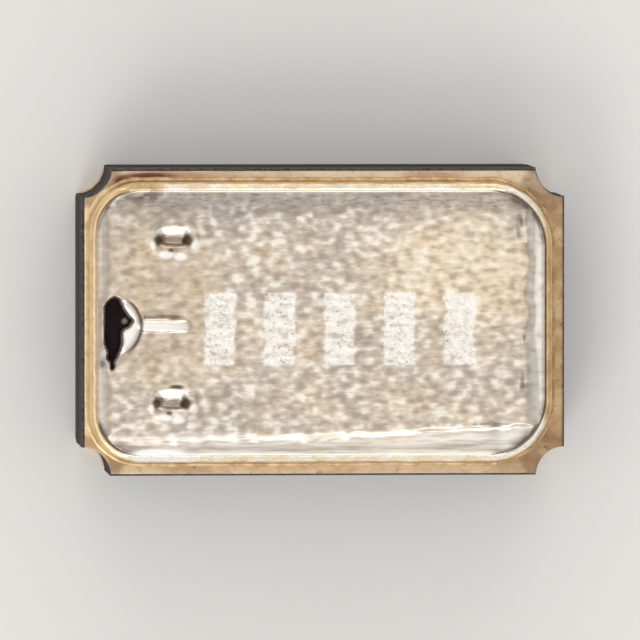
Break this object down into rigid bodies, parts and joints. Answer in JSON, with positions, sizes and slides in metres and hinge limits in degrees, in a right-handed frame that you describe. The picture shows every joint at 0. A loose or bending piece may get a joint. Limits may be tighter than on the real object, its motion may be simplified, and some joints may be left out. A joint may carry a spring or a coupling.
{
  "type": "crystal oscillator",
  "caption": "Surface-mount crystal oscillator: dark ceramic package, gold-plated rim, welded metal lid, and a quartz tuning fork above its oscillator die.",
  "frame": {"origin": "centre of the solder plane, at the bottom of the package", "axes": "+X along the package away from the lid's sealed vent, +Y across it, +Z out through the lid"},
  "size_m": [0.0022, 0.0014, 0.0009],
  "materials": {
    "ceramic": "matt, fine-grained",
    "gold_plating": "satin",
    "braze": "satin",
    "lid_metal": "satin, rolled",
    "tungsten": "sintered, gold flashed",
    "inner_gold": "satin",
    "adhesive": "silver-filled, matt",
    "quartz": "etched, clear",
    "electrode_film": "evaporated, bright",
    "silicon": "ground"
  },
  "bodies": {
    "root": {"ceramic_base": "ceramic", "seal_metallisation": "gold_plating", "seal_ring": "gold_plating", "terminal_enable": "gold_plating", "terminal_ground": "gold_plating", "terminal_output": "gold_plating", "terminal_supply": "gold_plating", "ring_braze": "braze", "lid": "lid_metal", "conductor_enable": "tungsten", "conductor_ground": "tungsten", "conductor_output": "tungsten", "conductor_supply": "tungsten", "crystal_conductor_1": "tungsten", "crystal_conductor_2": "tungsten", "crystal_pad_1": "inner_gold", "crystal_pad_2": "inner_gold", "die_bumps": "inner_gold", "adhesive_dot_1": "adhesive", "adhesive_dot_2": "adhesive", "tuning_fork": "quartz", "fork_electrode_1": "electrode_film", "fork_electrode_2": "electrode_film", "tuning_weight_1": "electrode_film", "tuning_weight_2": "electrode_film", "oscillator_die": "silicon"}
  },
  "joints": []
}
